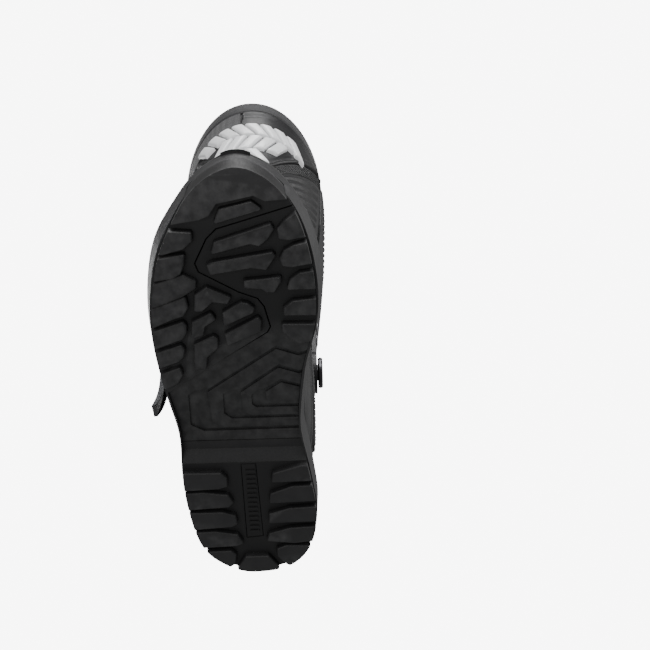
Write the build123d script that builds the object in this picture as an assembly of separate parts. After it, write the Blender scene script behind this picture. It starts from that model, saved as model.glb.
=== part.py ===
from build123d import *
import math
import os

# Off-road boot, right foot, size 43: a foot half and a hinged cuff, closed by three lever buckles.
#
# Frame: origin on the ground under the back of the heel, +X to the toe, +Y to the inner side, +Z up.
# The upper is described by one skin: stations run from the toe (0) round the instep to the cuff's rim (19).
# Each station is a closed curve in a plane that holds the Y direction, from a back point to a front point,
# and a piece of the upper covers a range of stations and of angles (0 front, +90 inner side, 180 back).

# ---------------------------------------------------------------- driving dimensions
LUG_HEIGHT = 4.5            # ground to the floor between the lugs
LUG_CORNER = 1.1
OUTSOLE_TOP = 14.0          # top of the rubber and of the arch plate
MIDSOLE_TOP = 24.0
BOARD_TOP = 26.0
FOOTBED_TOP = 31.0
SHELL_BOTTOM = 17.0         # the upper tucks into the sole down to here
RAND_TOP = 27.0             # upper edge of the sole's sidewall
TOE_SPRING_START = 235.0    # from here forward the sole curves up
TOE_SPRING_RADIUS = 288.0
GROOVE = 0.9                # joint line between the two rubber pieces
HEEL_LINE = 101.5           # heel block to arch plate
HEEL_BREAST = 87.5          # the heel's tread ends here
ARCH_RISE_START = 190.0     # behind this the arch plate leaves the ground level
ARCH_TOP = 11.3             # underside of the arch plate where it meets the heel block

SHELL = (-3.0, 0.0)         # layers of the upper, as offsets from the skin
LINER = (-8.4, -3.4)
GAITER = (-6.0, -1.0)
COLLAR = (-8.4, 1.8)
PLATE = (0.4, 3.4)
STRAP = (4.7, 7.3)
BUCKLE_FLOOR = (3.6, 4.4)
STRAP_WIDTH = 18.0

PIVOT = (85.0, 122.0)       # ankle hinge, X and Z
PIVOT_BOLT_RADIUS = 6.0
PIVOT_CLEARANCE = 0.06
ARM_INNER = 46.6            # hinge arms stand this far from the middle plane
ARM_THICKNESS = 3.5

PIN_RADIUS = 1.55
PIN_CLEARANCE = 0.05
PIN_HEIGHT = 9.0            # lever pin above the buckle's floor
HUB_RADIUS = 2.7
LEVER_LENGTH = 50.0
LEVER_BOW = 0.0034          # how much the cuff's levers bend round the leg

# Stations of the skin: back point x, z; front point x, z; outer and inner half width;
# where the widest line lies between back and front; squareness of the back and of the front half.
STATIONS = [
    (298.5, 20, 297, 37, 5, 7, 0.50, 2.5, 2.5),
    (294, 16, 290, 52, 16, 18, 0.42, 3.4, 2.3),
    (284, 14, 279, 66, 26, 27, 0.38, 4.0, 2.3),
    (270, 14, 263, 75.5, 36.5, 36.5, 0.36, 4.5, 2.3),
    (249, 14, 244, 83, 46, 43.5, 0.35, 4.5, 2.3),
    (220, 14, 221, 91, 53, 47.5, 0.35, 4.5, 2.2),
    (188, 14, 199, 103, 53.5, 45.5, 0.36, 4.5, 2.2),
    (152, 14, 182, 117, 49, 40, 0.38, 4.5, 2.2),
    (112, 14, 171, 133, 43, 38.5, 0.40, 4.0, 2.2),
    (68, 14, 164, 150, 42, 42, 0.42, 3.6, 2.3),
    (22, 14, 161, 168, 41.5, 43, 0.45, 3.0, 2.3),
    (-5, 38, 162, 187, 41, 42, 0.48, 2.6, 2.3),
    (-7, 84, 165, 206, 42, 42.5, 0.50, 2.4, 2.3),
    (-1, 126, 169, 226, 45, 45, 0.50, 2.3, 2.3),
    (3, 166, 174, 250, 49, 49, 0.50, 2.3, 2.3),
    (4, 208, 179, 280, 52.5, 52.5, 0.50, 2.3, 2.25),
    (6, 250, 184, 313, 55.5, 55.5, 0.50, 2.3, 2.15),
    (14, 292, 190, 349, 57.5, 57.5, 0.50, 2.3, 2.1),
    (27, 330, 195.5, 378, 58.5, 58.5, 0.50, 2.3, 2.05),
    (33, 342, 198, 392, 58.5, 59, 0.50, 2.3, 2.05),
]
RIM = len(STATIONS) - 1
FOOT_TOP = 11.5             # last station of the foot half
CUFF_BOTTOM = 13.0          # first station of the cuff
COLLAR_START = 17.88        # the padded collar sits from here to the rim
SHIN_EDGE = (15.0, 0.0453, 8.0)   # lower edge of the upper shin plate: station in front, rise, roundness
RIB_COUNT = 5
RIB_PITCH = 0.3
RIB_WIDTH = 0.14

# Ground outline of the tread, from the back of the heel along the outer side, round the toe and back.
SOLE_OUTLINE = [
    (-4, 4), (-2, -9), (4, -20), (14, -30.5), (30, -37.5), (50, -41.5), (80, -44), (110, -43.5),
    (135, -48), (165, -53.5), (195, -56), (225, -53.5), (250, -47.5), (270.5, -38), (287.5, -27),
    (298, -14), (302.5, 1), (299, 14), (289, 27), (273.5, 37.5), (250, 45), (220, 49), (190, 47),
    (165, 40.5), (140, 37), (112, 36), (90, 40), (68, 44), (47, 46.5), (27, 44.5), (12, 38.5), (1, 27),
    (-3, 15),
]

# Joint line between the outer and the inner rubber, from the inner edge near the toe to the outer waist.
JOINT_LINE = [
    (279.5, 60), (276.5, 36), (262.5, -12), (256, -18.5), (239.5, -26.5), (233.5, -24.5), (218.5, 0),
    (213.5, 12), (207.5, 16), (192.5, 19.5), (188.5, 17.5), (145, -48), (138, -62),
]

# Lug faces, each a polygon in X, Y. Those of the outer rubber come first.
OUTER_LUGS = [
    [(264, -43), (262.5, -27), (256.5, -27), (251, -33), (247.5, -46), (248, -51)],
    [(245, -51), (248, -32), (240, -33), (234, -35.5), (231, -41), (228.5, -56)],
    [(226, -57), (233.5, -34), (228.5, -26), (224, -26.5), (218, -35), (211, -52), (210, -58)],
    [(209, -58), (218, -33.5), (210, -32), (204, -35.5), (201, -44), (194, -59)],
    [(192, -59), (200, -36), (197, -34), (192, -34), (187, -37), (179, -58)],
    [(176, -58), (183, -38), (179, -36), (174, -37), (170, -41), (164, -57)],
    [(160, -56), (166, -40), (160, -38.5), (154, -42), (149.5, -50), (152, -55)],
    [(207, -28.5), (219, -27.5), (224.5, -20), (216.5, -4.5), (212, -7), (213.5, -16.5), (207, -23.5)],
    [(187.5, -31.5), (199.5, -30.5), (206, -18), (201, -15), (196, -22), (189.5, -23.5)],
    [(164, -31), (183, -30), (189, -17.5), (187, -14.5), (180, -14.5), (173, -22), (164.5, -23)],
    [(195.5, -10.5), (206, -10.5), (213, 1.5), (212, 6), (208.5, 10), (205, 9)],
    [(181, -9), (190, -10), (202, 12), (199, 14), (191.5, 13.5)],
    [(267, -13.5), (277, -9.5), (281.5, 10.5), (276, 17.5)],
]
TOE_LUG_BACK = [(267, -46), (270.5, -22), (273, -16), (280.5, -11), (285, 12), (281.5, 19), (283, 46)]
INNER_LUGS = [
    [(247, -16), (255.5, -13.5), (267, 22), (263, 24), (256.5, 20), (252, 14.5), (253.5, 9)],
    [(233, -17), (240, -19), (242, -15), (248, 22.5), (245, 24.5), (235.5, 18.5), (237, 9)],
    [(223, 4), (228.5, 4), (230.5, 27.5), (227, 27.5), (219.5, 23), (219.5, 18), (222, 15)],
    [(256.5, 27), (263, 26), (269, 31), (274, 38), (267, 46), (258, 48), (255.5, 33)],
    [(238, 28.5), (243, 27), (249, 30), (252.5, 36), (255.5, 49), (240, 52), (237, 35)],
    [(221, 31), (228, 33), (233, 39), (235, 52), (221, 54)],
    [(202.5, 28.5), (208, 28.5), (213, 34), (215, 53), (202, 53)],
    [(196.5, 27), (196, 51), (184, 49), (181.5, 38), (186, 31), (191, 27)],
]
HEEL_LUGS = [
    [(82, -48), (81.5, -18), (77, -14), (70, -14), (68, -20), (67, -48)],
    [(65, -48), (65.5, -30), (63, -14), (56, -10.5), (52.5, -14), (50.5, -48)],
    [(48.5, -48), (48.5, -18), (45, -9.5), (38, -8.5), (35.5, -13), (33.5, -44)],
    [(31.5, -44), (32, -24), (29, -9), (21, -5), (19, -10), (17.5, -40)],
    [(14.5, -40), (15, -14), (11, -10.5), (3, -11.5), (-4, -22)],
    [(9.5, -4), (9.5, 12), (0, 18.5), (-8, 20), (-8, -12), (0, -9.5)],
    [(17.5, 46), (18.5, 25), (15.5, 18), (9, 18), (2, 24), (-4, 33)],
    [(22.5, 11), (29, 13), (33.5, 28), (34.5, 50), (22, 50), (20, 30)],
    [(38, 13), (46, 13.5), (50.5, 28), (51.5, 52), (38.5, 52)],
    [(55, 14), (63, 15), (69, 30), (69.5, 50), (56, 52)],
    [(72.5, 16), (80, 17), (86, 36), (86.5, 46), (73, 50)],
]
HEEL_PLAQUE = [(23, -3), (86, -4.5), (86, 6), (24, 9)]

# Moulded channels under the arch: outer loop and inner loop of each, open to the inner side.
ARCH_CHANNELS = [
    ([(109.5, 44), (109, -28), (114.5, -37), (139.5, -37), (143.5, -32), (144.5, -23), (178, 23), (172, 37), (175.5, 48)],
     [(173, 48), (169.5, 37), (175, 22.5), (141.5, -24), (115.5, -22), (112, -14), (112, 44)]),
    ([(119, 44), (119, -9), (123.5, -14), (139.5, -14), (142.5, -9), (144, -1), (163, 24), (157.5, 37), (160.5, 48)],
     [(158, 48), (155, 37), (160, 23.5), (140.5, -2), (124.5, -1), (121.5, 5), (121.5, 44)]),
    ([(128, 44), (128, 8), (130.5, 5), (138.5, 5), (142, 9), (143.5, 14), (151, 25), (146.5, 37), (149.5, 48)],
     [(147, 48), (144, 37), (148, 25), (140.5, 14.5), (131.5, 15), (130.5, 20), (130.5, 44)]),
]
CHANNEL_DEPTH = 1.6

# Bars of the shin badge: stations of each row and the angle it reaches to on both sides.
BADGE_ROWS = [(15.42, 15.92, 11.0), (15.98, 16.5, 27.0), (16.56, 17.02, 42.0)]
BADGE_PITCH = 10.5
BADGE_BAR = 8.5
BADGE_LEAN = 9.0

# Buckles: name, station of the strap's middle, angle of the lever's pin, angles of the strap's two ends.
BUCKLES = [
    ("instep", 8.6, -79.0, 58.0, -114.0),
    ("ankle", 13.95, -72.0, 60.0, -106.0),
    ("shin", 15.25, -72.0, -28.0, -106.0),
]


# ---------------------------------------------------------------- the skin
def station(s):
    """The nine values of the skin at any station, smooth between the listed ones."""
    i = min(max(int(math.floor(s)), 0), RIM - 1)
    t = s - i
    rows = [STATIONS[min(max(i + k, 0), RIM)] for k in (-1, 0, 1, 2)]
    values = []
    for p0, p1, p2, p3 in zip(*rows):
        values.append(
            p1 + 0.5 * t * (p2 - p0 + t * (2 * p0 - 5 * p1 + 4 * p2 - p3 + t * (3 * (p1 - p2) + p3 - p0)))
        )
    return values


def skin_point(s, angle, offset=0.0):
    """A point of the skin, moved outwards by offset."""
    bx, bz, fx, fz, outer, inner, widest, back_n, front_n = station(s)
    length = math.hypot(fx - bx, fz - bz)
    ux, uz = (fx - bx) / length, (fz - bz) / length
    mx, mz = bx + ux * length * widest, bz + uz * length * widest
    c, d = math.cos(math.radians(angle)), math.sin(math.radians(angle))
    n = front_n if c >= 0 else back_n
    reach = (length * (1 - widest) if c >= 0 else length * widest) + offset
    width = (inner if d >= 0 else outer) + offset
    along = math.copysign(abs(c) ** (2 / n), c) * reach
    across = math.copysign(abs(d) ** (2 / n), d) * width
    ahead = offset * max(0.0, 1.0 - s)
    return Vector(mx + ux * along + ahead, across, mz + uz * along)


def spread(start, stop, count):
    return [start + (stop - start) * i / (count - 1) for i in range(count)]


def grid(s_from, s_to):
    """Half stations between two stations, with both ends."""
    inside = [k / 2 for k in range(int(2 * s_from) + 1, int(math.ceil(2 * s_to)))]
    return [s_from] + [s for s in inside if s_from < s < s_to] + [s_to]


def patch(s_from, s_to, angle_from, angle_to, layer):
    """A curved plate over a range of stations and angles, between the two offsets of its layer."""
    count = max(5, int(abs(angle_to - angle_from) / 14) + 1)
    wires = []
    for s in grid(s_from, s_to):
        outside = [skin_point(s, a, layer[1]) for a in spread(angle_from, angle_to, count)]
        inside = [skin_point(s, a, layer[0]) for a in spread(angle_to, angle_from, count)]
        wires.append(
            Wire([
                Edge.make_spline(outside),
                Edge.make_line(outside[-1], inside[0]),
                Edge.make_spline(inside),
                Edge.make_line(inside[-1], outside[0]),
            ])
        )
    return Solid.make_loft(wires, ruled=True)


def tube(s_from, s_to, offset):
    """The whole skin between two stations as one solid."""
    wires = []
    for s in grid(s_from, s_to):
        loop = [skin_point(s, a, offset) for a in range(0, 360, 15)]
        wires.append(Wire([Edge.make_spline(loop, periodic=True)]))
    return Solid.make_loft(wires, ruled=True)


def ring(s_from, s_to, layer):
    return tube(s_from, s_to, layer[1]) - tube(s_from - 0.01, s_to + 0.01, layer[0])


def section_plane(s):
    """The plane of a station: local x runs from its back point to its front point."""
    bx, bz, fx, fz, *_ = station(s)
    forward = Vector(fx - bx, 0, fz - bz).normalized()
    middle = Vector((bx + fx) / 2, 0, (bz + fz) / 2)
    return Plane(origin=middle, x_dir=forward, z_dir=forward.cross(Vector(0, 1, 0)))


def strip(s, angle_from, angle_to, layer, width):
    """A strap-like band of constant width round the skin at a station."""
    slab = section_plane(s).location * Box(600, 400, width)
    return patch(s - 1.4, s + 1.4, angle_from, angle_to, layer) & slab


def local_plane(s, angle, offset):
    """Frame on the skin: x towards the back along the strap, z outwards, y across."""
    here = skin_point(s, angle, offset)
    step = 0.5 if angle > 0 else -0.5
    back = (skin_point(s, angle + step, offset) - skin_point(s, angle - step, offset)).normalized()
    across = section_plane(s).z_dir
    out = back.cross(across).normalized()
    bx, bz, fx, fz, *_ = station(s)
    middle = Vector((bx + fx) / 2, 0, (bz + fz) / 2)
    if out.dot(here - middle) < 0:
        out = -out
    return Plane(origin=here, x_dir=back, z_dir=out)


def above(z):
    return Pos(150, 0, z + 300) * Box(800, 400, 600)


def higher_than(z):
    """Everything above a height that follows the toe spring."""
    return profile_slab(height_line(z), [(-20.0, 420.0), (330.0, 420.0)])


def one_solid(shape):
    """The largest solid of a result."""
    return sorted(shape.solids(), key=lambda part: part.volume)[-1]


# ---------------------------------------------------------------- the sole
def spring(x):
    """How far the sole has curved up at x."""
    return max(0.0, x - TOE_SPRING_START) ** 2 / (2 * TOE_SPRING_RADIUS)


def flare(x):
    """Share of the sidewall's flare at x: little at the heel, full along the forefoot, inwards at the toe."""
    marks = [(-20, 0.3), (60, 0.3), (140, 1.0), (243, 1.0), (302, -0.35), (340, -0.35)]
    for (x0, f0), (x1, f1) in zip(marks, marks[1:]):
        if x <= x1:
            return f0 + (f1 - f0) * (x - x0) / (x1 - x0)
    return marks[-1][1]


def outline_points(grow, flared=False):
    """The ground outline moved outwards by grow, or by grow times the flare."""
    count = len(SOLE_OUTLINE)
    moved = []
    for i, (x, y) in enumerate(SOLE_OUTLINE):
        (ax, ay), (bx, by) = SOLE_OUTLINE[i - 1], SOLE_OUTLINE[(i + 1) % count]
        length = math.hypot(bx - ax, by - ay)
        step = grow * flare(x) if flared else grow
        moved.append((x + step * (by - ay) / length, y - step * (bx - ax) / length))
    return moved


def outline_wire(grow, z, flared=False):
    points = [Vector(x, y, z) for x, y in outline_points(grow, flared)]
    return Wire([Edge.make_spline(points, periodic=True)])


def outline_prism(grow, bottom, top):
    face = Face(outline_wire(grow, bottom))
    return extrude(face, amount=top - bottom, dir=(0, 0, 1))


def profile_slab(low_points, high_points):
    """A slab across the whole width between two height lines, each a list of x, z from back to front."""
    points = low_points + high_points[::-1]
    face = make_face(Polyline(*[Vector(x, -90, z) for x, z in points], close=True))
    return extrude(face, amount=180, dir=(0, 1, 0))


def height_line(z, x_from=-20.0, x_to=330.0):
    """A height that follows the toe spring, as x, z pairs."""
    steps = [x_from] + spread(TOE_SPRING_START, x_to, 7)
    return [(x, z + spring(x)) for x in steps]


def arch_line(extra=0.0):
    """Underside of the inner rubber: level in the forefoot, rising to the heel block."""
    return [(HEEL_LINE - 10, ARCH_TOP + extra), (HEEL_LINE + 8, ARCH_TOP + extra),
            (ARCH_RISE_START, LUG_HEIGHT + extra)] + [
        (x, LUG_HEIGHT + extra + spring(x)) for x in spread(TOE_SPRING_START, 330.0, 7)
    ]


def polygon_prism(points, bottom, top):
    face = make_face(Polyline(*[Vector(x, y, bottom) for x, y in points], close=True))
    return extrude(face, amount=top - bottom, dir=(0, 0, 1))


def lug(points):
    """One tread lug: rounded corners, a chamfered ground face and drafted walls."""
    rise, corner, edge = 7.5, LUG_CORNER, 0.7
    middle = sum(x for x, _ in points) / len(points)
    slope = math.atan(max(0.0, middle - TOE_SPRING_START - 8) / TOE_SPRING_RADIUS)
    ground = Plane(
        origin=(middle, 0, spring(middle)),
        x_dir=(math.cos(slope), 0, math.sin(slope)),
        z_dir=(-math.sin(slope), 0, math.cos(slope)),
    )
    face = make_face(Polyline(*[Vector(x - middle, y, 0) for x, y in points], close=True))
    face = fillet(face.vertices(), corner)
    waist = Plane.XY.offset(edge)
    tip = extrude(waist.location * face, amount=edge, taper=40, dir=(0, 0, -1))
    body = extrude(waist.location * face, amount=rise - edge, taper=-7)
    return ground.location * (body + tip)


def region(points, lugs, plate):
    """A rubber piece: the plate inside its border, with its lugs."""
    piece = plate & polygon_prism(points, -5, 40)
    return piece.fuse(*lugs) & outline_prism(0, -5, 40)


def joint_groove():
    line = Polyline(*[Vector(x, y, -5) for x, y in JOINT_LINE])
    return extrude(trace(line, GROOVE), amount=50, dir=(0, 0, 1))


def outsole_lateral():
    plate = outline_prism(0, -5, 40) & profile_slab(height_line(LUG_HEIGHT), height_line(OUTSOLE_TOP))
    toe = polygon_prism(TOE_LUG_BACK + [(320, 46), (320, -46)], -5, 40)
    toe = toe & profile_slab(height_line(0), height_line(LUG_HEIGHT + 1))
    lugs = [lug(points) for points in OUTER_LUGS] + [toe]
    border = JOINT_LINE + [(142, -90), (340, -90), (340, 60)]
    return one_solid(region(border, lugs, plate) - joint_groove())


def outsole_medial():
    high = [(HEEL_LINE - 10, OUTSOLE_TOP)] + height_line(OUTSOLE_TOP)[1:]
    plate = outline_prism(0, -5, 40) & profile_slab(arch_line(), high)
    for outer, inner in ARCH_CHANNELS:
        channel = polygon_prism(outer + inner, -5, 40)
        plate = plate - (channel & profile_slab(arch_line(-3), arch_line(CHANNEL_DEPTH)))
    border = JOINT_LINE + [(HEEL_LINE, -90), (HEEL_LINE, 90), (284, 90)]
    return one_solid(region(border, [lug(points) for points in INNER_LUGS], plate) - joint_groove())


def heel_block():
    low = [(-20, LUG_HEIGHT), (HEEL_BREAST, LUG_HEIGHT), (HEEL_BREAST + 7, ARCH_TOP), (HEEL_LINE - 0.5, ARCH_TOP)]
    high = [(-20, OUTSOLE_TOP), (HEEL_LINE - 0.5, OUTSOLE_TOP)]
    plate = outline_prism(0, -5, 40) & profile_slab(low, high)
    border = [(-30, -90), (HEEL_LINE - 0.5, -90), (HEEL_LINE - 0.5, 90), (-30, 90)]
    block = region(border, [lug(points) for points in HEEL_LUGS], plate)
    return one_solid(block - polygon_prism(HEEL_PLAQUE, -5, LUG_HEIGHT + 2.5))


def heel_plaque():
    """Blank name plate of the heel, set in its pocket with a thin gap and plain cross ribs."""
    (x0, y0), (x1, y1), (x2, y2), (x3, y3) = HEEL_PLAQUE
    gap = 0.5
    points = [(x0 + gap, y0 + gap), (x1 - gap, y1 + gap), (x2 - gap, y2 - gap), (x3 + gap, y3 - gap)]
    plate = polygon_prism(points, LUG_HEIGHT + 0.2, LUG_HEIGHT + 2.4)
    rib = Pos(0, 2, LUG_HEIGHT + 0.1) * Box(1.6, 6.5, 1.4)
    return plate.fuse(*[Pos(x, 0.02 * (80 - x), 0) * rib for x in spread(29, 80, 14)]).clean()


def sole_rand():
    """Sidewall round the whole sole, outside the rubber below and outside the upper above."""
    walls = [outline_wire(1.5, 5.0, True), outline_wire(5.0, RAND_TOP, True), outline_wire(4.4, RAND_TOP + 16, True)]
    outside = Solid.make_loft(walls, ruled=True)
    band = outside & profile_slab(height_line(LUG_HEIGHT + 1.5), height_line(RAND_TOP))
    rubber = outline_prism(0.2, 4, 60) & profile_slab(height_line(0), height_line(SHELL_BOTTOM))
    return one_solid(band - rubber - tube(0, 12, 0.25))


def level_angle(s, z, offset):
    """How far round a station the skin stays above a height that follows the toe spring, or None."""
    low, high = 20.0, 180.0
    over = [skin_point(s, a, offset) for a in (low, high)]
    if over[1].Z >= z + spring(over[1].X) or over[0].Z < z + spring(over[0].X):
        return None
    for _ in range(40):
        middle = (low + high) / 2
        here = skin_point(s, middle, offset)
        if here.Z >= z + spring(here.X):
            low = middle
        else:
            high = middle
    return low


def level_prism(z, offset, top):
    """What fits inside the skin from a level upwards: the skin's section at that level, as a prism."""
    rows = [(s / 4, level_angle(s / 4, z, offset)) for s in range(2, 46)]
    rows = [(s, a) for s, a in rows if a is not None]
    lateral = [skin_point(s, -a, offset) for s, a in rows]
    medial = [skin_point(s, a, offset) for s, a in reversed(rows)]
    face = make_face(Polyline(*[Vector(p.X, p.Y, 5) for p in lateral + medial], close=True))
    return extrude(face, amount=60, dir=(0, 0, 1)) & profile_slab(height_line(z), height_line(top))


def midsole():
    """Foam core: a flange under the upper's edge and a step that fills the upper's bottom."""
    flange = outline_prism(-0.3, 5, 60) & profile_slab(height_line(OUTSOLE_TOP), height_line(SHELL_BOTTOM - 0.2))
    step = level_prism(SHELL_BOTTOM - 0.3, SHELL[0] - 0.6, MIDSOLE_TOP)
    shank_slot = Pos(120, 1, MIDSOLE_TOP - 1.0) * Box(171, 25, 4)
    return one_solid(flange.fuse(step) - shank_slot)


def steel_shank():
    blank = Pos(120, 1, MIDSOLE_TOP - 1.6) * Box(170, 24, 1.5)
    rib = Pos(120, 1, MIDSOLE_TOP - 0.9) * Box(120, 5, 1.4)
    return fillet(blank.edges().filter_by(Axis.Z), 9) + rib


def insole_board():
    return level_prism(MIDSOLE_TOP + 0.2, SHELL[0] - 0.6, BOARD_TOP)


def footbed():
    return level_prism(BOARD_TOP + 0.1, LINER[0] - 0.6, FOOTBED_TOP)


# ---------------------------------------------------------------- the foot half


def foot_shell(side):
    """One side of the foot's outer shell, from the sole to the ankle, parted along the middle."""
    half = Pos(150, side * 100.3, 0) * Box(500, 200, 600)
    hollow = tube(0, FOOT_TOP, SHELL[1]) - tube(0, FOOT_TOP + 0.2, SHELL[0])
    return one_solid(hollow & half & higher_than(SHELL_BOTTOM))


def foot_liner():
    lining = tube(0.5, FOOT_TOP, LINER[1]) - tube(1.0, FOOT_TOP + 0.2, LINER[0])
    return one_solid(lining & higher_than(BOARD_TOP + 0.2))


def toe_cap():
    cap = tube(0, 4, PLATE[1]) - tube(0, 4.2, PLATE[0])
    return one_solid(cap & higher_than(RAND_TOP + 0.3))


def instep_plate():
    return patch(4.5, 8, -38, 38, PLATE)


def heel_counter():
    back = patch(9.5, 11.5, 112, 248, PLATE)
    return one_solid(back & above(RAND_TOP + 0.4))


def side_guard(side):
    return one_solid(patch(4.5, 9.3, side * 44, side * 128, PLATE) & above(RAND_TOP + 0.4))


def ankle_guard(side):
    """Side plate of the heel with the boss that carries the hinge."""
    guard = patch(9.5, FOOT_TOP, side * 62, side * 108, PLATE) & above(RAND_TOP + 0.4)
    boss = Pos(PIVOT[0], side * (ARM_INNER - 8.5), PIVOT[1]) * Rot(90, 0, 0) * Cylinder(16.5, 16)
    boss = boss - tube(9, 12.5, 0.4)
    hole = Pos(PIVOT[0], side * ARM_INNER, PIVOT[1]) * Rot(90, 0, 0) * Cylinder(PIVOT_BOLT_RADIUS, 6)
    return one_solid(one_solid(guard).fuse(one_solid(boss)).clean() - hole)


def ankle_pivots():
    """The two hinge bolts: a shank in the boss and a wide head with a hexagon socket outside the arm."""
    bolts = []
    for side in (-1, 1):
        turn = Rot(90 * side, 0, 0)
        shank = Pos(PIVOT[0], side * (ARM_INNER + 0.8), PIVOT[1]) * turn * Cylinder(PIVOT_BOLT_RADIUS, 7.6)
        head = Pos(PIVOT[0], side * (ARM_INNER + 5.9), PIVOT[1]) * turn * Cylinder(11.5, 3.6)
        head = chamfer(head.edges().filter_by(GeomType.CIRCLE), 0.9)
        hexagon = extrude(RegularPolygon(4.2, 6), amount=2.4, both=True)
        socket = Pos(PIVOT[0], side * (ARM_INNER + 7.7), PIVOT[1]) * turn * hexagon
        bolts.append(one_solid((shank + head) - socket))
    return Compound(children=bolts)


def ankle_gaiter():
    """Soft ribbed sleeve that closes the ankle between the foot half and the cuff."""
    return one_solid(ring(FOOT_TOP + 0.05, CUFF_BOTTOM - 0.05, GAITER))


# ---------------------------------------------------------------- the cuff
def cuff_panel(side):
    return patch(CUFF_BOTTOM, COLLAR_START - 0.03, side * 1, side * 179, SHELL)


def cuff_liner():
    return one_solid(ring(CUFF_BOTTOM + 0.05, COLLAR_START - 0.03, LINER))


def shin_edge(angle):
    """Station of the upper shin plate's lower edge: lowest in front, rising to both sides."""
    front, rise, roundness = SHIN_EDGE
    return front + rise * (math.hypot(angle, roundness) - roundness)


def front_zone(low, high, angle_from, angle_to):
    """Prism along X over the part of the front between two station curves, each a function of the angle."""
    angles = spread(angle_from, angle_to, 25)
    points = [skin_point(low(a), a) for a in angles] + [skin_point(high(a), a) for a in reversed(angles)]
    face = make_face(Polyline(*[Vector(80, p.Y, p.Z) for p in points], close=True))
    return extrude(face, amount=180, dir=(1, 0, 0))


def shin_plate():
    """Upper shin plate: a rounded lower edge, cut back on the outer side for the woven band."""
    plate = patch(14.9, COLLAR_START - 0.05, -50, 74, PLATE)
    plate = plate & front_zone(shin_edge, lambda a: 18.6, -56, 80)
    return one_solid(plate - front_zone(lambda a: 17.06, lambda a: 18.6, -62, -6))


def shin_rib_plate():
    """Lower shin plate with raised flex ribs that follow the upper plate's edge."""
    plate = patch(13.5, 17.44, -46, 72, PLATE)
    plate = one_solid(plate & front_zone(lambda a: 12.0, lambda a: shin_edge(a) - 0.5, -56, 80))
    ribs = []
    for k in range(RIB_COUNT):
        drop = 0.62 + RIB_PITCH * k
        rib = patch(13.6, 17.2, -40, 66, (PLATE[1] - 0.2, PLATE[1] + 1.0))
        zone = front_zone(
            lambda a: shin_edge(a) - drop - RIB_WIDTH, lambda a: shin_edge(a) - drop, -56, 80
        )
        ribs += (rib & zone).solids()
    return one_solid(plate.fuse(*ribs).clean())


def shin_band():
    """Textured band between the two shin plates."""
    band = patch(14.5, COLLAR_START - 0.05, -46, 72, (0.4, 2.8))
    return one_solid(band & front_zone(lambda a: shin_edge(a) - 0.45, lambda a: shin_edge(a) - 0.04, -56, 80))


def shin_badge():
    """White moulded trim on the upper shin plate: three rows of slanted bars, narrower towards the foot."""
    bars = []
    for row, (low, high, reach) in enumerate(BADGE_ROWS):
        lean = BADGE_LEAN if row % 2 else -BADGE_LEAN
        count = int(2 * reach / BADGE_PITCH)
        for a in spread(-BADGE_PITCH * (count - 1) / 2, BADGE_PITCH * (count - 1) / 2, count):
            start = a - BADGE_BAR / 2
            bars.append(patch_bar(low, high, start - lean / 2, start + lean / 2, BADGE_BAR))
    return Compound(children=bars)


def patch_bar(s_from, s_to, angle_from, angle_to, sweep):
    """A raised bar on the shin plate, leaning from one angle to another."""
    wires = []
    for s, a in ((s_from, angle_from), ((s_from + s_to) / 2, (angle_from + angle_to) / 2), (s_to, angle_to)):
        low, high = PLATE[1] + 0.3, PLATE[1] + 2.6
        outside = [skin_point(s, t, high) for t in spread(a + 1, a + sweep - 1, 4)]
        inside = [skin_point(s, t, low) for t in spread(a + sweep, a, 4)]
        wires.append(Wire([
            Edge.make_spline(outside),
            Edge.make_line(outside[-1], inside[0]),
            Edge.make_spline(inside),
            Edge.make_line(inside[-1], outside[0]),
        ]))
    return Solid.make_loft(wires, ruled=True)


def textile_band():
    """Woven strip of the gaiter below the collar, on the outer side."""
    return patch(17.12, COLLAR_START - 0.05, -68, -8, (0.3, 2.4))


def closure_flap():
    """Hook-and-loop flap that closes the gaiter below the rim."""
    return patch(16.42, COLLAR_START - 0.05, -114, -80, (0.3, 2.9))


def top_collar():
    """Padded rim round the cuff's opening."""
    return one_solid(ring(COLLAR_START, RIM, COLLAR))


def calf_plate():
    return patch(13.5, COLLAR_START - 0.05, 116, 244, PLATE)


def medial_grip_pad():
    return patch(16.3, COLLAR_START - 0.05, 77, 113, PLATE)


def hinge_frame(side):
    """Side plate of the cuff with a flat arm that reaches down to the ankle bolt."""
    x, z = PIVOT
    eye = Pos(x, 0, z) * Rot(90, 0, 0) * Cylinder(15.5, ARM_THICKNESS)
    edge = [(x - 13, z + 8), (x + 14, z + 7), (x + 16, z + 90), (x - 14, z + 90)]
    face = make_face(Polyline(*[Vector(px, 0, pz) for px, pz in edge], close=True))
    blade = extrude(face, amount=ARM_THICKNESS / 2, both=True)
    hole = Pos(x, 0, z) * Rot(90, 0, 0) * Cylinder(PIVOT_BOLT_RADIUS + PIVOT_CLEARANCE, 10)
    arm = Pos(0, side * (ARM_INNER + ARM_THICKNESS / 2), 0) * ((eye + blade) - hole)
    arm = one_solid(arm - tube(CUFF_BOTTOM - 0.5, 16, PLATE[0] + 1))
    edge_angle = 49 if side < 0 else 75
    return one_solid(patch(13.55, 16.25, side * edge_angle, side * 113, PLATE) + arm)


def hinge_frame_rivets():
    """Rivets that hold the arms to the cuff's shell."""
    rivets = []
    for side in (-1, 1):
        for dx, dz in ((-2, 52), (12, 50)):
            head = Pos(PIVOT[0] + dx, side * (ARM_INNER + ARM_THICKNESS + 0.85), PIVOT[1] + dz) * Rot(90, 0, 0)
            rivets.append(chamfer((head * Cylinder(4.5, 1.6)).edges().filter_by(GeomType.CIRCLE), 0.5))
    return Compound(children=[one_solid(r) for r in rivets])


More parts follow.
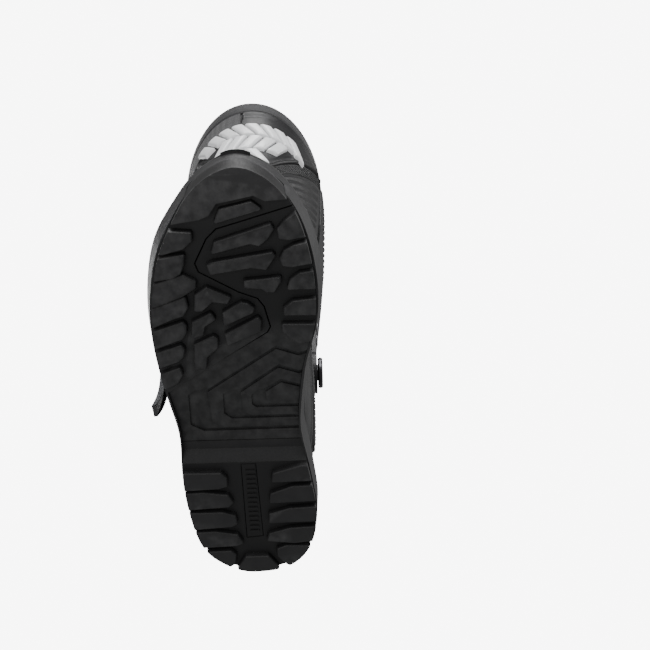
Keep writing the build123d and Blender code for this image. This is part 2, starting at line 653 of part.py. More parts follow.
# ---------------------------------------------------------------- buckles
def pin_plane(s, angle):
    """Frame whose origin lies on the lever's pin axis."""
    floor = local_plane(s, angle, BUCKLE_FLOOR[0])
    return Plane(origin=floor.origin + floor.z_dir * PIN_HEIGHT, x_dir=floor.x_dir, z_dir=floor.z_dir)


def buckle_base(s, angle):
    """Curved floor with two ears that hold the lever's pin."""
    floor = strip(s, angle + 15, angle - 17, BUCKLE_FLOOR, STRAP_WIDTH + 7.2)
    plane = pin_plane(s, angle)
    ears = []
    for side in (-1, 1):
        y = side * (STRAP_WIDTH / 2 + 2.0)
        post = Pos(1.0, y, -6.5) * Box(16, 2.6, 13)
        dome = Pos(0, y, 0) * Rot(90, 0, 0) * Cylinder(4.4, 2.6)
        ears.append(plane.location * (post + dome))
    body = floor
    for ear in ears:
        body = body + (ear - tube(s - 1.5, s + 1.5, BUCKLE_FLOOR[0] + 0.02))
    hole = plane.location * (Rot(90, 0, 0) * Cylinder(PIN_RADIUS, 60))
    return one_solid(body - hole)


def buckle_pin(s, angle):
    plane = pin_plane(s, angle)
    return one_solid(plane.location * (Rot(90, 0, 0) * Cylinder(PIN_RADIUS, STRAP_WIDTH + 7.4)))


def buckle_lever(s, angle, bow):
    """Hollow lever: a hub round the pin and an arm that bows round the leg, with its tip turned outwards."""
    half = STRAP_WIDTH / 2 + 0.2
    outer_line = [(-2.6, 2.2), (8, 4.6), (22, 4.6), (36, 4.4), (LEVER_LENGTH, 8.0)]
    inner_line = [(LEVER_LENGTH - 0.6, 5.4), (36, 0.6), (22, 0.4), (8, 0.4), (0, -2.4)]
    outside = [Vector(x, 0, z - bow * x * x) for x, z in outer_line]
    inside = [Vector(x, 0, z - bow * x * x) for x, z in inner_line]
    profile = Wire([
        Edge.make_spline(outside),
        Edge.make_line(outside[-1], inside[0]),
        Edge.make_spline(inside),
        Edge.make_line(inside[-1], outside[0]),
    ])
    arm = extrude(Face(profile), amount=half, dir=(0, 1, 0), both=True)
    hub = Rot(90, 0, 0) * Cylinder(HUB_RADIUS, 2 * half)
    floor = [Vector(p.X, 0, p.Z - 2.2) for p in outside[1:]]
    hollow = Wire([
        Edge.make_spline(floor),
        Edge.make_line(floor[-1], Vector(floor[-1].X, 0, -30)),
        Edge.make_line(Vector(floor[-1].X, 0, -30), Vector(floor[0].X, 0, -30)),
        Edge.make_line(Vector(floor[0].X, 0, -30), floor[0]),
    ])
    pocket = extrude(Face(hollow), amount=half - 2, dir=(0, 1, 0), both=True)
    bore = Rot(90, 0, 0) * Cylinder(PIN_RADIUS + PIN_CLEARANCE, 40)
    lever = (arm + hub) - pocket - bore
    for x in (38, 41, 44):
        lever = lever - Pos(x, 0, 0.33 * (x - 35) + 4.9 - bow * x * x) * Box(1.0, 2 * half - 4, 1.2)
    return pin_plane(s, angle).location * one_solid(lever)


def strap(s, start, end):
    """Ladder strap with cross teeth near its tail."""
    band = strip(s, start, end, STRAP, STRAP_WIDTH)
    teeth = []
    for a in spread(end + 6, end + 26, 6):
        plane = local_plane(s, a, STRAP[1])
        teeth.append(plane.location * Box(1.1, STRAP_WIDTH - 6, 1.6))
    for tooth in teeth:
        band = band - tooth
    return one_solid(band)


def strap_screw(s, start):
    """Screw that holds the strap's fixed end on the plate."""
    inward = -8 if start > 0 else -6
    plane = local_plane(s, start + inward, STRAP[1])
    head = Pos(0, 0, 0.7) * Cylinder(4.2, 2.4)
    head = chamfer(head.edges().filter_by(GeomType.CIRCLE).sort_by(Axis.Z)[-1], 0.6)
    slot = Pos(0, 0, 1.9) * Box(5.6, 1.1, 1.2)
    middle = start + inward
    seat = patch(s - 0.6, s + 0.6, middle - 12, middle + 12, (STRAP[0] - 1, STRAP[1] + 0.05))
    return one_solid(plane.location * (head - slot) - seat)


# ---------------------------------------------------------------- build
def build():
    parts = {
        "outsole_lateral": outsole_lateral(),
        "outsole_medial": outsole_medial(),
        "heel_block": heel_block(),
        "heel_plaque": heel_plaque(),
        "sole_rand": sole_rand(),
        "midsole": midsole(),
        "steel_shank": steel_shank(),
        "insole_board": insole_board(),
        "footbed": footbed(),
        "foot_shell_lateral": foot_shell(-1),
        "foot_shell_medial": foot_shell(1),
        "foot_liner": foot_liner(),
        "toe_cap": toe_cap(),
        "instep_plate": instep_plate(),
        "heel_counter": heel_counter(),
        "side_guard_lateral": side_guard(-1),
        "side_guard_medial": side_guard(1),
        "ankle_guard_lateral": ankle_guard(-1),
        "ankle_guard_medial": ankle_guard(1),
        "ankle_pivots": ankle_pivots(),
        "ankle_gaiter": ankle_gaiter(),
        "cuff_panel_lateral": cuff_panel(-1),
        "cuff_panel_medial": cuff_panel(1),
        "cuff_liner": cuff_liner(),
        "shin_plate": shin_plate(),
        "shin_rib_plate": shin_rib_plate(),
        "shin_band": shin_band(),
        "shin_badge": shin_badge(),
        "textile_band": textile_band(),
        "closure_flap": closure_flap(),
        "top_collar": top_collar(),
        "calf_plate": calf_plate(),
        "medial_grip_pad": medial_grip_pad(),
        "hinge_frame_lateral": hinge_frame(-1),
        "hinge_frame_medial": hinge_frame(1),
        "hinge_frame_rivets": hinge_frame_rivets(),
    }
    pins, screws = [], []
    for name, s, pin_angle, start, end in BUCKLES:
        parts[name + "_strap"] = strap(s, start, end)
        parts[name + "_buckle_base"] = buckle_base(s, pin_angle)
        parts[name + "_buckle_lever"] = buckle_lever(s, pin_angle, 0.0 if name == "instep" else LEVER_BOW)
        pins.append(buckle_pin(s, pin_angle))
        screws.append(strap_screw(s, start))
    parts["instep_buckle_pin"] = pins[0]
    parts["cuff_buckle_pins"] = Compound(children=pins[1:])
    parts["instep_strap_screw"] = screws[0]
    parts["cuff_strap_screws"] = Compound(children=screws[1:])
    return parts


def main():
    os.makedirs("parts", exist_ok=True)
    for name, shape in build().items():
        export_step(shape, "parts/" + name + ".step")
        print(name, round(shape.volume), "mm3")


if __name__ == "__main__":
    main()
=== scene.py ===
import math
import bmesh
import bpy
import numpy as np
from mathutils import Matrix, Vector


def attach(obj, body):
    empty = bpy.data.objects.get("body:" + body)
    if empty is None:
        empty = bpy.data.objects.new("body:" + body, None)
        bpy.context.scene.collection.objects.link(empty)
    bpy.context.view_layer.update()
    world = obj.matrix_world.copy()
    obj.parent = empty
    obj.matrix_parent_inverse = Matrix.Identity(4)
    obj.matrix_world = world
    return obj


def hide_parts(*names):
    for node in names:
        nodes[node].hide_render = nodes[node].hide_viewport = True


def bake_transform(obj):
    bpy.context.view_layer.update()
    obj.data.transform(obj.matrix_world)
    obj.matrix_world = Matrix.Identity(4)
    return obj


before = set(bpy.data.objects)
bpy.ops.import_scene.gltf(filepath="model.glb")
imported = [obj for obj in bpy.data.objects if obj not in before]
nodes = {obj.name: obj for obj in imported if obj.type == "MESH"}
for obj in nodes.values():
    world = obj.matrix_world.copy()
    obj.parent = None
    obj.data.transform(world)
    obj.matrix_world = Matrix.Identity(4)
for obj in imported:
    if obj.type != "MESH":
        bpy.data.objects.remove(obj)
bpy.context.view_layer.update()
MM = 0.001

# ------------------------------------------------------------------ the skin of the upper, as in the CAD, in mm
# back point x, z; front point x, z; outer and inner half width; widest share; squareness of back and front
STATIONS = np.array([
    (298.5, 20, 297, 37, 5, 7, 0.50, 2.5, 2.5),
    (294, 16, 290, 52, 16, 18, 0.42, 3.4, 2.3),
    (284, 14, 279, 66, 26, 27, 0.38, 4.0, 2.3),
    (270, 14, 263, 75.5, 36.5, 36.5, 0.36, 4.5, 2.3),
    (249, 14, 244, 83, 46, 43.5, 0.35, 4.5, 2.3),
    (220, 14, 221, 91, 53, 47.5, 0.35, 4.5, 2.2),
    (188, 14, 199, 103, 53.5, 45.5, 0.36, 4.5, 2.2),
    (152, 14, 182, 117, 49, 40, 0.38, 4.5, 2.2),
    (112, 14, 171, 133, 43, 38.5, 0.40, 4.0, 2.2),
    (68, 14, 164, 150, 42, 42, 0.42, 3.6, 2.3),
    (22, 14, 161, 168, 41.5, 43, 0.45, 3.0, 2.3),
    (-5, 38, 162, 187, 41, 42, 0.48, 2.6, 2.3),
    (-7, 84, 165, 206, 42, 42.5, 0.50, 2.4, 2.3),
    (-1, 126, 169, 226, 45, 45, 0.50, 2.3, 2.3),
    (3, 166, 174, 250, 49, 49, 0.50, 2.3, 2.3),
    (4, 208, 179, 280, 52.5, 52.5, 0.50, 2.3, 2.25),
    (6, 250, 184, 313, 55.5, 55.5, 0.50, 2.3, 2.15),
    (14, 292, 190, 349, 57.5, 57.5, 0.50, 2.3, 2.1),
    (27, 330, 195.5, 378, 58.5, 58.5, 0.50, 2.3, 2.05),
    (33, 342, 198, 392, 58.5, 59, 0.50, 2.3, 2.05),
], float)
RIM = len(STATIONS) - 1
TOE_SPRING_START = 235.0
TOE_SPRING_RADIUS = 288.0


def station(s):
    i = np.clip(np.floor(s).astype(int), 0, RIM - 1)
    t = (s - i)[..., None]
    p0, p1, p2, p3 = (STATIONS[np.clip(i + k, 0, RIM)] for k in (-1, 0, 1, 2))
    return p1 + 0.5 * t * (p2 - p0 + t * (2 * p0 - 5 * p1 + 4 * p2 - p3 + t * (3 * (p1 - p2) + p3 - p0)))


def skin(s, angle, offset=0.0):
    """Points of the skin in mm, moved outwards by offset."""
    s, angle, offset = np.broadcast_arrays(np.asarray(s, float), np.asarray(angle, float),
                                           np.asarray(offset, float))
    bx, bz, fx, fz, outer, inner, widest, back_n, front_n = np.moveaxis(station(s), -1, 0)
    length = np.hypot(fx - bx, fz - bz)
    ux, uz = (fx - bx) / length, (fz - bz) / length
    c, d = np.cos(np.radians(angle)), np.sin(np.radians(angle))
    n = np.where(c >= 0, front_n, back_n)
    reach = np.where(c >= 0, length * (1 - widest), length * widest) + offset
    width = np.where(d >= 0, inner, outer) + offset
    along = np.sign(c) * np.abs(c) ** (2 / n) * reach
    across = np.sign(d) * np.abs(d) ** (2 / n) * width
    ahead = offset * np.maximum(0.0, 1.0 - s)
    return np.stack([bx + ux * length * widest + ux * along + ahead, across,
                     bz + uz * length * widest + uz * along], -1)


def spring(x):
    return np.maximum(0.0, x - TOE_SPRING_START) ** 2 / (2 * TOE_SPRING_RADIUS)


QUADRANT = 45 * (1 - np.cos(np.linspace(0, math.pi, 241)))
DENSE = np.unique(np.concatenate([QUADRANT + k for k in (-360, -270, -180, -90, 0, 90, 180, 270)]))


def even_angles(s, a0, a1, share):
    """Angles from a0 to a1 at the given shares of the arc's length, on the station s."""
    inside = DENSE[(DENSE > a0) & (DENSE < a1)]
    a = np.concatenate([[a0], inside, [a1]])
    p = skin(s, a)
    run = np.concatenate([[0], np.cumsum(np.linalg.norm(np.diff(p, axis=0), axis=1))])
    return np.interp(share * run[-1], run, a), run[-1]


def lowest_angle(s, z, extra=0.0):
    """How far round the section the skin stays above a height that follows the toe spring."""
    a = DENSE[(DENSE >= 0) & (DENSE <= 180)]
    p = skin(s, a)
    over = p[:, 2] >= z + spring(p[:, 0])
    return float(a[over][-1]) - extra if over.any() else 1.0


def shares(length, step, edge):
    """Grid positions from 0 to 1: fine next to both ends, even between them."""
    near = [0.0, 0.08, 0.29, 0.62, 1.0]
    ends = np.array([k * edge for k in near]) if edge else np.array([0.0])
    first, last = ends[-1], length - ends[-1]
    count = max(2, int(round((last - first) / step)))
    middle = np.linspace(first, last, count + 1)[1:-1]
    return np.concatenate([ends, middle, length - ends[::-1]]) / length


def plate(s, a, layer, step=1.3, edge=1.2, detail=None, inner=None):
    """A curved plate on the skin as vertices, faces and surface coordinates. s and a are pairs of limits;
    a limit of s may be a function of the angle, and then those of a are numbers; a limit of a may be a function of s."""
    f = [v if callable(v) else (lambda _, v=v: v) for v in (*s, *a)]
    bent = callable(s[0]) or callable(s[1])
    probe = np.linspace(a[0], a[1], 9) if bent else [0.0]
    mid = [np.mean([float(f[k](q)) for q in probe]) for k in (0, 1)]
    sm = np.linspace(mid[0], mid[1], 40)
    am = [0.5 * (float(f[2](q)) + float(f[3](q))) for q in sm]
    runs = [np.linalg.norm(np.diff(skin(sm, np.array(am) + k), axis=0), axis=1).sum() for k in (-40, 0, 40)]
    u = shares(max(runs), step, edge)
    rows = mid[0] + (mid[1] - mid[0]) * u
    lengths = [even_angles(q, float(f[2](q)), float(f[3](q)),
                           np.array([1.0]))[1] for q in (mid[0], sum(mid) / 2, mid[1])]
    v = shares(max(lengths), step, edge)
    A = np.stack([even_angles(q, float(f[2](q)), float(f[3](q)), v)[0] for q in rows])
    if bent:
        A = np.repeat(A[len(A) // 2][None], len(A), 0)
    low_s, high_s = (np.array([float(f[k](q)) for q in (A[0] if bent else v)]) for k in (0, 1))
    S = low_s[None] + (high_s - low_s)[None] * u[:, None]
    base = skin(S, A)
    along = np.concatenate([np.zeros((1, len(v))),
                            np.cumsum(np.linalg.norm(np.diff(base, axis=0), axis=2), axis=0)])
    across = np.concatenate([np.zeros((len(u), 1)),
                             np.cumsum(np.linalg.norm(np.diff(base, axis=1), axis=2), axis=1)], 1)
    near = np.minimum(np.minimum(along, along[-1:] - along), np.minimum(across, across[:, -1:] - across))
    near = np.maximum(near, 0)
    drop = edge - np.sqrt(np.maximum(edge ** 2 - np.maximum(edge - near, 0) ** 2, 0)) if edge else near * 0
    info = {"s": S, "a": A, "y": along, "x": across - across[:, -1:] / 2, "far": along[-1:] - along,
            "near": near,
            "side0": across, "side1": across[:, -1:] - across}
    top = layer[1] - drop
    if detail is not None:
        top = top + detail(info) * np.clip(near / 1.5, 0, 1)
    bottom = np.full_like(top, layer[0])
    if inner is not None:
        bottom = bottom + inner(info)
    outer_pts, inner_pts = skin(S, A, np.maximum(top, bottom + 0.3)), skin(S, A, bottom)
    n, m = S.shape
    verts = np.concatenate([outer_pts.reshape(-1, 3), inner_pts.reshape(-1, 3)])
    uv = np.stack([info["x"], along], -1).reshape(-1, 2)
    k = np.arange(n * m).reshape(n, m)
    q = lambda g: np.stack([g[:-1, :-1], g[:-1, 1:], g[1:, 1:], g[1:, :-1]], -1).reshape(-1, 4)
    ring = np.concatenate([k[0, :-1], k[:-1, -1], k[-1, :0:-1], k[:0:-1, 0]])
    wall = np.stack([ring, np.roll(ring, -1), np.roll(ring, -1) + n * m, ring + n * m], -1)
    faces = np.concatenate([q(k), q(k + n * m)[:, ::-1], wall[:, ::-1]])
    return verts, faces, np.concatenate([uv, uv])


def hoop(profile, step=2.0, detail=None):
    """A closed ring round the skin, from a closed profile of station and offset."""
    profile = np.asarray(profile, float)
    middle = profile[:, 0].mean()
    length = even_angles(middle, -180.0, 180.0, np.array([1.0]))[1]
    count = int(length / step)
    a, _ = even_angles(middle, -180.0, 180.0, np.arange(count) / count)
    S, A = np.meshgrid(profile[:, 0], a, indexing="ij")
    O = np.repeat(profile[:, 1:2], count, 1)
    x = np.repeat((np.arange(count) / count * length)[None], len(profile), 0)
    p0 = skin(profile[:, 0], np.zeros(len(profile)), profile[:, 1])
    y = np.concatenate([[0], np.cumsum(np.linalg.norm(np.diff(p0, axis=0), axis=1))])
    Y = np.repeat(y[:, None], count, 1)
    if detail is not None:
        O = O + detail({"s": S, "a": A, "o": O, "x": x, "y": Y})
    k = np.arange(S.size).reshape(S.shape)
    k = np.concatenate([k, k[:1]])
    k = np.concatenate([k, k[:, :1]], 1)
    faces = np.stack([k[:-1, :-1], k[:-1, 1:], k[1:, 1:], k[1:, :-1]], -1).reshape(-1, 4)
    return skin(S, A, O).reshape(-1, 3), faces, np.stack([x, Y], -1).reshape(-1, 2)


def piece(name, meshes, material, body, replaces=()):
    """One object from one or more meshes in mm, riding on a body."""
    meshes = meshes if isinstance(meshes, list) else [meshes]
    starts = np.cumsum([0] + [len(v) for v, _, _ in meshes])
    verts = np.concatenate([v for v, _, _ in meshes]) * MM
    faces = [tuple(int(i) + int(o) for i in f) for (_, fs, _), o in zip(meshes, starts) for f in fs]
    uv = np.concatenate([t for _, _, t in meshes])
    mesh = bpy.data.meshes.new(name)
    mesh.from_pydata(verts.tolist(), [], faces)
    layer = mesh.uv_layers.new(name="surface_mm")
    corner = np.zeros(len(mesh.loops), np.int32)
    mesh.loops.foreach_get("vertex_index", corner)
    layer.data.foreach_set("uv", (uv[corner] / 10).astype(np.float32).ravel())
    mesh.polygons.foreach_set("use_smooth", np.ones(len(mesh.polygons), bool))
    mesh.update()
    bm_fix(mesh)
    obj = bpy.data.objects.new(name, mesh)
    bpy.context.scene.collection.objects.link(obj)
    mesh.materials.append(material)
    if body:
        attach(obj, body)
    if replaces:
        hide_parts(*replaces)
    return obj


def bm_fix(mesh):
    """Outward normals and no doubled points."""
    bm = bmesh.new()
    bm.from_mesh(mesh)
    bmesh.ops.remove_doubles(bm, verts=bm.verts, dist=2e-6)
    bmesh.ops.recalc_face_normals(bm, faces=bm.faces)
    for e in bm.edges:
        e.smooth = e.calc_face_angle(0.0) < math.radians(50)
    bm.to_mesh(mesh)
    bm.free()


# ------------------------------------------------------------------ materials
def tree(name, colour, rough, **inputs):
    mat = bpy.data.materials.new(name)
    mat.use_nodes = True
    nt = mat.node_tree
    shader = nt.nodes["Principled BSDF"]
    shader.inputs["Base Color"].default_value = (*colour, 1)
    shader.inputs["Roughness"].default_value = rough
    for key, value in inputs.items():
        shader.inputs[key.replace("_", " ")].default_value = value
    return mat, nt, shader


def add(nt, kind, links=None, **values):
    """A node with settings, inputs set by name or number, and its inputs linked from sockets."""
    n = nt.nodes.new(kind)
    for key, value in values.items():
        setattr(n, key, value)
    for key, value in (links or {}).items():
        socket = n.inputs[key]
        if isinstance(value, bpy.types.NodeSocket):
            nt.links.new(value, socket)
        else:
            socket.default_value = value
    return n


def coordinates(nt, uv, scale):
    source = add(nt, "ShaderNodeTexCoord").outputs["UV" if uv else "Object"]
    return add(nt, "ShaderNodeMapping", {"Vector": source, "Scale": scale}).outputs[0]


def noise(nt, vector, scale, detail=3.0, rough=0.55, distortion=0.0):
    return add(nt, "ShaderNodeTexNoise", {"Vector": vector, "Scale": scale, "Detail": detail,
                                          "Roughness": rough,
                                          "Distortion": distortion}).outputs["Fac"]


def spread(nt, fac, low, high, out_low=0.0, out_high=1.0):
    return add(nt, "ShaderNodeMapRange", {"Value": fac, "From Min": low, "From Max": high, "To Min": out_low,
                                          "To Max": out_high}).outputs[0]


def calc(nt, op, a, b=0.0):
    return add(nt, "ShaderNodeMath", {0: a, 1: b}, operation=op).outputs[0]


def mix_colour(nt, fac, dark, light):
    n = add(nt, "ShaderNodeMix", {"Factor": fac}, data_type="RGBA")
    for index, value in ((6, dark), (7, light)):
        if isinstance(value, bpy.types.NodeSocket):
            nt.links.new(value, n.inputs[index])
        else:
            n.inputs[index].default_value = (*value, 1)
    return n.outputs[2]


def bump(nt, shader, layers):
    """Stacked bumps: each is a height socket and a depth in mm."""
    last = None
    for height, depth in layers:
        n = add(nt, "ShaderNodeBump", {"Height": height, "Distance": depth * MM, "Strength": 1.0})
        if last is not None:
            nt.links.new(last, n.inputs["Normal"])
        last = n.outputs[0]
    nt.links.new(last, shader.inputs["Normal"])


def edge_wear_and_highlight(nt, low=0.53, high=0.62):
    """Bright on convex edges, broken up by noise: rubbed edges on most finishes, a painted highlight on the lug
    edges of the tread rubber.
    """
    point = add(nt, "ShaderNodeNewGeometry").outputs["Pointiness"]
    patchy = noise(nt, coordinates(nt, False, (1, 1, 1)), 140.0, 4.0)
    return calc(nt, "MULTIPLY", spread(nt, point, low, high), spread(nt, patchy, 0.35, 0.7))


def solid_material(name, dark, light, rough, grain_mm, grain_depth, mottle=22.0, wear_and_highlight=None, uv=False,
                   **inputs):
    """Moulded plastic or rubber: mottled colour, uneven gloss, fine grain, rubbed edges (on the tread rubber a
    painted edge highlight).
    """
    mat, nt, shader = tree(name, dark, rough[0], **inputs)
    where = coordinates(nt, False, (1, 1, 1))
    cloud = spread(nt, noise(nt, where, mottle, 5.0), 0.3, 0.7)
    colour = mix_colour(nt, cloud, dark, light)
    # edge colour: rubbed edges, and a painted highlight on the lug edges of the tread rubber
    if wear_and_highlight is not None:
        colour = mix_colour(nt, edge_wear_and_highlight(nt), colour, wear_and_highlight)
    nt.links.new(colour, shader.inputs["Base Color"])
    scuff = noise(nt, add(nt, "ShaderNodeMapping", {"Vector": where, "Scale": (1.0, 5.0, 1.6)}).outputs[0],
                  90.0, 6.0, 0.7)
    gloss = calc(nt, "ADD", spread(nt, cloud, 0, 1, rough[0], rough[1]),
                 spread(nt, scuff, 0.45, 0.75, -0.04, 0.10))
    nt.links.new(gloss, shader.inputs["Roughness"])
    cells = add(nt, "ShaderNodeTexVoronoi", {"Vector": where, "Scale": 1000.0 / grain_mm}).outputs["Distance"]
    bump(nt, shader, [(cells, grain_depth), (noise(nt, where, 260.0, 4.0), grain_depth * 1.5),
                      (noise(nt, where, 28.0, 2.0), 0.25)])
    return mat


def tread_material(name, face, worn, floor, **extra):
    """Sole rubber: lug faces lighter and grooves darker between them, a painted shade that grows with height above
    the ground, weaker across the waist.
    """
    # the edge colour given here is a painted highlight on the lug edges
    mat = solid_material(name, worn, face, (0.46, 0.58), 0.55, 0.03, mottle=75.0, wear_and_highlight=(0.06, 0.06, 0.061),
                         **extra)
    nt = mat.node_tree
    shader = nt.nodes["Principled BSDF"]
    place = add(nt, "ShaderNodeSeparateXYZ", {0: add(nt, "ShaderNodeTexCoord").outputs["Object"]}).outputs
    # painted shade: the colour darkens with height above the tread faces, following the toe spring, and less across
    # the waist
    ahead = calc(nt, "MAXIMUM", calc(nt, "SUBTRACT", place[0], TOE_SPRING_START * MM), 0.0)
    curve = calc(nt, "MULTIPLY", calc(nt, "MULTIPLY", ahead, ahead), 1 / (2 * TOE_SPRING_RADIUS * MM))
    height = calc(nt, "SUBTRACT", place[2], curve)
    groove_shade = spread(nt, height, 0.0006, 0.0036)
    waist_shade_cut = calc(nt, "MULTIPLY", spread(nt, place[0], 0.086, 0.092), spread(nt, place[0], 0.20, 0.185))
    groove_shade = calc(nt, "MULTIPLY", groove_shade, calc(nt, "SUBTRACT", 1.0, calc(nt, "MULTIPLY", waist_shade_cut, 0.75)))
    old = shader.inputs["Base Color"].links[0].from_socket
    nt.links.new(mix_colour(nt, groove_shade, old, floor), shader.inputs["Base Color"])
    return mat


def woven_material(name, dark, light, rough, pitch_mm, depth, zigzag=0.0, **inputs):
    """Cloth: crossing threads along the surface's own coordinates (1 unit is 10 mm)."""
    mat, nt, shader = tree(name, dark, rough, **inputs)
    uv = coordinates(nt, True, (10.0 / pitch_mm, 10.0 / pitch_mm, 1))
    parts = add(nt, "ShaderNodeSeparateXYZ", {0: uv}).outputs
    x, y = parts[0], parts[1]
    if zigzag:
        fold = add(nt, "ShaderNodeMath", {0: x, 1: zigzag}, operation="PINGPONG").outputs[0]
        y = calc(nt, "ADD", y, calc(nt, "MULTIPLY", fold, 1.4))
    threads_x = calc(nt, "ABSOLUTE", calc(nt, "SINE", calc(nt, "MULTIPLY", x, math.pi)))
    threads_y = calc(nt, "ABSOLUTE", calc(nt, "SINE", calc(nt, "MULTIPLY", y, math.pi)))
    over = calc(nt, "MAXIMUM", calc(nt, "MULTIPLY", threads_x, 0.75), threads_y)
    fuzz = noise(nt, coordinates(nt, False, (1, 1, 1)), 900.0, 3.0)
    shade = calc(nt, "MULTIPLY", over, spread(nt, fuzz, 0.3, 0.7, 0.6, 1.0))
    nt.links.new(mix_colour(nt, shade, dark, light), shader.inputs["Base Color"])
    bump(nt, shader, [(over, depth), (fuzz, depth * 0.5)])
    return mat


# the third colour is painted shade, mixed in towards the groove floors
RUBBER = tread_material("tread_rubber", (0.028, 0.028, 0.029), (0.019, 0.019, 0.020), (0.011, 0.011, 0.0115),
                        Specular_IOR_Level=0.4)
RAND_RUBBER = solid_material("rand_rubber", (0.018, 0.018, 0.019), (0.024, 0.024, 0.025), (0.50, 0.60), 0.8,
                             0.03,
                             mottle=12.0, wear_and_highlight=(0.05, 0.05, 0.052))
PLASTIC = solid_material("moulded_plastic", (0.012, 0.012, 0.013), (0.018, 0.018, 0.019), (0.38, 0.48), 0.7,
                         0.035,
                         mottle=18.0, wear_and_highlight=(0.04, 0.04, 0.042), Specular_IOR_Level=0.35)
MICROFIBRE = solid_material("microfibre", (0.014, 0.014, 0.015), (0.022, 0.022, 0.023), (0.55, 0.68), 1.1,
                            0.09,
                            mottle=30.0, Sheen_Weight=0.08, Specular_IOR_Level=0.3)
STRAP = solid_material("strap_plastic", (0.015, 0.015, 0.016), (0.022, 0.022, 0.023), (0.36, 0.46), 0.6, 0.02,
                       mottle=20.0, wear_and_highlight=(0.05, 0.05, 0.052))
LEVER = solid_material("buckle_alloy", (0.030, 0.031, 0.034), (0.042, 0.043, 0.046), (0.30, 0.40), 0.4, 0.012,
                       mottle=30.0, wear_and_highlight=(0.09, 0.09, 0.095), Metallic=0.4)
STEEL = solid_material("fastener_steel", (0.34, 0.34, 0.35), (0.48, 0.48, 0.49), (0.26, 0.38), 0.5, 0.008,
                       mottle=60.0, wear_and_highlight=(0.7, 0.7, 0.7), Metallic=1.0)
BLACK_STEEL = solid_material("pivot_steel", (0.045, 0.045, 0.048), (0.07, 0.07, 0.074), (0.28, 0.40), 0.5,
                             0.01,
                             mottle=60.0, wear_and_highlight=(0.3, 0.3, 0.3), Metallic=0.9)
WHITE = solid_material("badge_white", (0.86, 0.87, 0.88), (0.91, 0.91, 0.92), (0.20, 0.30), 1.5, 0.008,
                       mottle=25.0, Coat_Weight=0.35, Coat_Roughness=0.12)
FOAM = solid_material("insole_foam", (0.035, 0.035, 0.037), (0.06, 0.06, 0.063), (0.75, 0.85), 0.9, 0.12,
                      mottle=40.0)
BOARD = solid_material("insole_board", (0.12, 0.10, 0.08), (0.18, 0.15, 0.12), (0.8, 0.9), 1.0, 0.08,
                       mottle=60.0)
COLLAR_CLOTH = woven_material("collar_cloth", (0.010, 0.010, 0.011), (0.030, 0.030, 0.032), 0.62, 0.55, 0.10,
                              Sheen_Weight=0.25, Sheen_Roughness=0.4)
BAND_CLOTH = woven_material("zigzag_webbing", (0.008, 0.008, 0.009), (0.060, 0.060, 0.063), 0.6, 1.5, 0.35,
                            zigzag=2.0,
                            Sheen_Weight=0.2)
FLAP_CLOTH = woven_material("flap_cloth", (0.010, 0.010, 0.011), (0.035, 0.035, 0.037), 0.65, 0.8, 0.15,
                            Sheen_Weight=0.2)
LINING = woven_material("air_mesh_lining", (0.012, 0.012, 0.014), (0.055, 0.055, 0.060), 0.7, 2.2, 0.45,
                        Sheen_Weight=0.35)
GAITER = solid_material("gaiter_rubber", (0.013, 0.013, 0.014), (0.020, 0.020, 0.021), (0.50, 0.62), 0.8,
                        0.06,
                        mottle=25.0)


# ------------------------------------------------------------------ carried-over CAD nodes
def geometry_group(name, build):
    group = bpy.data.node_groups.new(name, "GeometryNodeTree")
    group.interface.new_socket("Geometry", in_out="INPUT", socket_type="NodeSocketGeometry")
    group.interface.new_socket("Geometry", in_out="OUTPUT", socket_type="NodeSocketGeometry")
    start = group.nodes.new("NodeGroupInput")
    end = group.nodes.new("NodeGroupOutput")
    group.links.new(build(group, start.outputs[0]), end.inputs[0])
    return group


def clean_build(group, geo):
    drop = group.nodes.new("GeometryNodeRemoveAttribute")
    drop.inputs["Name"].default_value = "custom_normal"
    group.links.new(geo, drop.inputs[0])
    weld = group.nodes.new("GeometryNodeMergeByDistance")
    weld.inputs["Distance"].default_value = 1e-5
    group.links.new(drop.outputs[0], weld.inputs[0])
    return weld.outputs[0]


def shade_build(group, geo):
    smooth = group.nodes.new("GeometryNodeSetShadeSmooth")
    group.links.new(geo, smooth.inputs["Geometry"])
    angle = group.nodes.new("GeometryNodeInputMeshEdgeAngle")
    over = group.nodes.new("FunctionNodeCompare")
    over.operation = "GREATER_THAN"
    over.inputs[1].default_value = math.radians(38)
    group.links.new(angle.outputs["Unsigned Angle"], over.inputs[0])
    sharp = group.nodes.new("GeometryNodeSetShadeSmooth")
    sharp.domain = "EDGE"
    sharp.inputs["Shade Smooth"].default_value = False
    group.links.new(smooth.outputs[0], sharp.inputs["Geometry"])
    group.links.new(over.outputs[0], sharp.inputs["Selection"])
    return sharp.outputs[0]


CLEAN = geometry_group("clean_mesh", clean_build)
SHADE = geometry_group("shade_by_angle", shade_build)


def dress(name, material, bevel=0.5, planar=0.6):
    """A CAD node with its finish, small rounded edges and clean shading."""
    obj = nodes[name]
    for m in obj.material_slots:
        m.material = material
    obj.modifiers.new("clean", "NODES").node_group = CLEAN
    if planar:
        d = obj.modifiers.new("merge_flat", "DECIMATE")
        d.decimate_type = "DISSOLVE"
        d.angle_limit = math.radians(planar)
    if bevel:
        b = obj.modifiers.new("edges", "BEVEL")
        b.width, b.segments, b.limit_method, b.angle_limit = bevel * MM, 2, "ANGLE", math.radians(30)
        b.miter_outer = "MITER_ARC"
    obj.modifiers.new("shade", "NODES").node_group = SHADE
    w = obj.modifiers.new("normals", "WEIGHTED_NORMAL")
    w.keep_sharp = True


